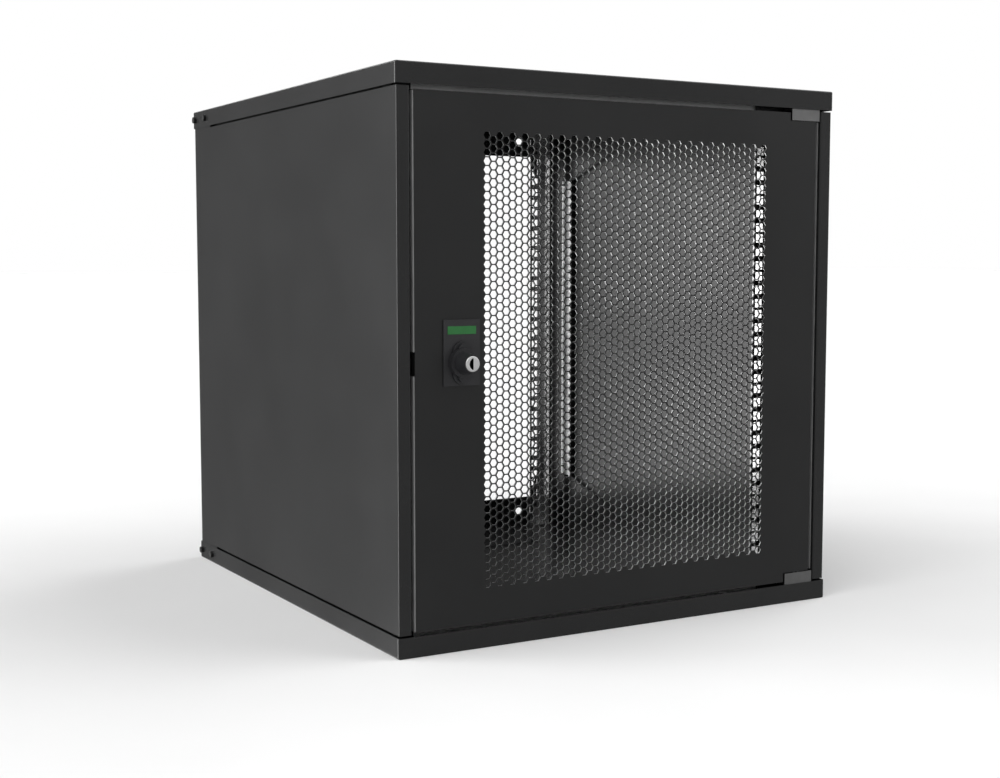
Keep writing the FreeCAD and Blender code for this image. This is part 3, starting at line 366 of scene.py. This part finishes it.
def spring():
    """Round-wire compression spring on the upper hinge pin."""
    low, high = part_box("hinge_spring")
    centre, outer = (low + high) / 2, (high.x - low.x) / 2
    radius, rise = outer - WIRE_RADIUS, high.z - low.z - 2 * WIRE_RADIUS
    up = Vector((0, 0, 1))
    turns = [2 * math.pi * n / WIRE_STEPS for n in range(WIRE_STEPS)]
    mesh = bmesh.new()
    rings = []
    for step in range(SPRING_TURNS * SPRING_STEPS + 1):
        share = step / (SPRING_TURNS * SPRING_STEPS)
        turn = 2 * math.pi * step / SPRING_STEPS
        out = Vector((math.cos(turn), math.sin(turn), 0))
        middle = Vector((centre.x, centre.y, low.z + WIRE_RADIUS + rise * share)) + out * radius
        spots = [middle + out * WIRE_RADIUS * math.cos(a) + up * WIRE_RADIUS * math.sin(a) for a in turns]
        rings.append([mesh.verts.new(spot) for spot in spots])
    skin(mesh, rings)
    coil = piece("spring_coil", mesh, "spring_steel", "door", "hinge_spring")
    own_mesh(coil)


# ---------------------------------------------------------------- small parts

def keyway_reach(angle):
    """Distance from the middle of the keyway to its outline, which is an arc closed by a chord."""
    radius = (KEYWAY_HALF_HEIGHT ** 2 + KEYWAY_BULGE ** 2) / 2 / KEYWAY_BULGE
    offset = radius - KEYWAY_BULGE + KEYWAY_SIDE
    arc = offset * math.cos(angle) + math.sqrt(radius ** 2 - (offset * math.sin(angle)) ** 2)
    return min(arc, KEYWAY_SIDE / math.cos(angle)) if math.cos(angle) > BESIDE_CHORD else arc


def key_plug():
    """Key cylinder with its half-lens keyway, whose walls and floor are painted dark as shade."""
    low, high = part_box("key_plug")
    x, z, outer = (low.x + high.x) / 2, (low.z + high.z) / 2, (high.x - low.x) / 2
    mesh = bmesh.new()

    def ring(y, reach, shift=0.0):
        turns = [2 * math.pi * n / PLUG_STEPS for n in range(PLUG_STEPS)]
        spots = [(x + shift + reach(a) * math.cos(a), y, z + reach(a) * math.sin(a)) for a in turns]
        return [mesh.verts.new(spot) for spot in spots]

    rings = [
        ring(low.y + KEYWAY_DEPTH, keyway_reach, -KEYWAY_SIDE / 2),
        ring(low.y, keyway_reach, -KEYWAY_SIDE / 2),
        ring(low.y, lambda a: outer - PLUG_CHAMFER),
        ring(low.y + PLUG_CHAMFER, lambda a: outer),
        ring(high.y, lambda a: outer),
    ]
    skin(mesh, rings)
    inside = outer - PLUG_CHAMFER * 1.5     # only the keyway's walls and floor lie wholly within this
    # The keyway's walls and floor take the dark bolt metal: painted shade standing in for the dark depth of
    # the slot.
    for face in mesh.faces:
        behind_front = face.calc_center_median().y > low.y
        if behind_front and all(math.hypot(v.co.x - x, v.co.z - z) < inside for v in face.verts):
            face.material_index = 1
    piece("key_cylinder_plug", mesh, "key_nickel", "key_cylinder", "key_plug", second="bolt_black")


def round_edges():
    """Small roundings on the nodes that aren't plain folded sheet."""
    for name, width in ROUNDING.items():
        bevel = nodes[name].modifiers.new("rounding", "BEVEL")
        bevel.width, bevel.segments, bevel.limit_method = width, ROUNDING_STEPS, "ANGLE"
        bevel.angle_limit = ROUNDING_ANGLE
        bevel.harden_normals = True


# ---------------------------------------------------------------- set

def floor():
    """Large pale floor under the cabinet."""
    mesh = bmesh.new()
    bmesh.ops.create_grid(mesh, x_segments=1, y_segments=1, size=FLOOR_SIZE)
    data = bpy.data.meshes.new("studio_floor")
    mesh.to_mesh(data)
    mesh.free()
    paper = Material("studio_paper", Roughness=FLOOR_ROUGHNESS, Specular_IOR_Level=FLOOR_SPECULAR)
    paper.colour(paper.noise(scale=3, detail=2), *map(grey, FLOOR_TONES))
    data.materials.append(paper.data)
    item = bpy.data.objects.new("studio_floor", data)
    item.visible_glossy = item.visible_shadow = False
    bpy.context.scene.collection.objects.link(item)


def surroundings():
    """White for the camera; for the object, a soft room with a window and two bright strips behind it."""
    world = bpy.data.worlds.new("studio")
    bpy.context.scene.world = world
    world.use_nodes = True
    tree = world.node_tree
    background = tree.nodes["Background"]
    background.inputs["Color"].default_value = (1, 1, 1, 1)
    direction = tree.nodes.new("ShaderNodeTexCoord").outputs["Generated"]

    def math_node(kind, operation, *sources):
        """Outputs of a new math node, whose inputs are other outputs or plain values."""
        item = tree.nodes.new(kind)
        item.operation = operation
        for socket, source in zip(item.inputs, sources):
            if isinstance(source, bpy.types.NodeSocket):
                tree.links.new(source, socket)
            else:
                socket.default_value = source
        return item.outputs

    def facing(start, axis, near, far, low, high):
        """Number that eases from low to high as a direction turns towards an axis."""
        dot = math_node("ShaderNodeVectorMath", "DOT_PRODUCT", start, axis)["Value"]
        item = tree.nodes.new("ShaderNodeMapRange")
        item.interpolation_type = "SMOOTHSTEP"
        tree.links.new(dot, item.inputs["Value"])
        for key, value in zip(("From Min", "From Max", "To Min", "To Max"), (near, far, low, high)):
            item.inputs[key].default_value = value
        return item.outputs["Result"]

    def combine(operation, one, two):
        return math_node("ShaderNodeMath", operation, one, two)["Value"]

    def compass(pan):
        return math.sin(math.radians(pan)), math.cos(math.radians(pan)), 0

    def beside(pan, spread, strength):
        """Strength that fades out, from the inner to the outer angle, either side of a compass direction."""
        return facing(level, compass(pan), *(math.cos(math.radians(a)) for a in spread), 0, strength)

    flat = math_node("ShaderNodeVectorMath", "MULTIPLY", direction, (1, 1, 0))["Vector"]
    level = math_node("ShaderNodeVectorMath", "NORMALIZE", flat)["Vector"]
    height = math_node("ShaderNodeVectorMath", "ABSOLUTE", direction)["Vector"]
    up, back = (0, 0, 1), (0, 1, 0)

    room = combine("MULTIPLY", facing(direction, back, -1, 1, *ROOM_FRONT_BACK),
                   facing(direction, up, -1, 1, *ROOM_BELOW_ABOVE))
    wall = facing(level, compass(LEFT_WALL_PAN), *LEFT_WALL_EASE, 0, LEFT_WALL_LEVEL)
    window = combine("MULTIPLY", beside(WINDOW_PAN, WINDOW_SPREAD, WINDOW_LEVEL),
                     facing(height, up, *WINDOW_HEIGHT, 0, 1))
    behind = beside(STRIP_PAN, STRIP_SPREAD, 1)
    total = combine("ADD", combine("ADD", room, wall), window)
    for side, (start, end, strength) in STRIPS.items():
        axis = (0, 0, side)
        band = combine("MULTIPLY", facing(direction, axis, *start, 0, strength),
                       facing(direction, axis, *end, 0, 1))
        total = combine("ADD", total, combine("MULTIPLY", band, behind))
    mix = tree.nodes.new("ShaderNodeMix")
    tree.links.new(tree.nodes.new("ShaderNodeLightPath").outputs["Is Camera Ray"], mix.inputs["Factor"])
    tree.links.new(total, mix.inputs["A"])
    mix.inputs["B"].default_value = 1.0
    tree.links.new(mix.outputs["Result"], background.inputs["Strength"])


def soft_lights():
    """Very wide soft lights from above, leaning from the vertical towards a compass direction."""
    for name, (level, spread, tilt, pan) in SOFT_LIGHTS.items():
        data = bpy.data.lights.new(name, "SUN")
        data.energy = level
        data.angle = math.radians(spread)
        item = bpy.data.objects.new(name, data)
        item.rotation_euler = (math.radians(-tilt), 0, math.radians(-pan))
        bpy.context.scene.collection.objects.link(item)


def camera():
    """Camera in front of the cabinet, on its left."""
    data = bpy.data.cameras.new("camera")
    data.lens, data.sensor_width = CAMERA_LENS, CAMERA_SENSOR
    item = bpy.data.objects.new("camera", data)
    item.location = CAMERA_PLACE
    item.rotation_euler = (math.radians(CAMERA_TILT), 0, math.radians(CAMERA_PAN))
    bpy.context.scene.collection.objects.link(item)
    bpy.context.scene.camera = item


paint_frame()
round_edges()
door_sheet()
spring()
key_plug()
floor()
surroundings()
soft_lights()
camera()
bpy.context.scene.view_settings.view_transform = "Standard"
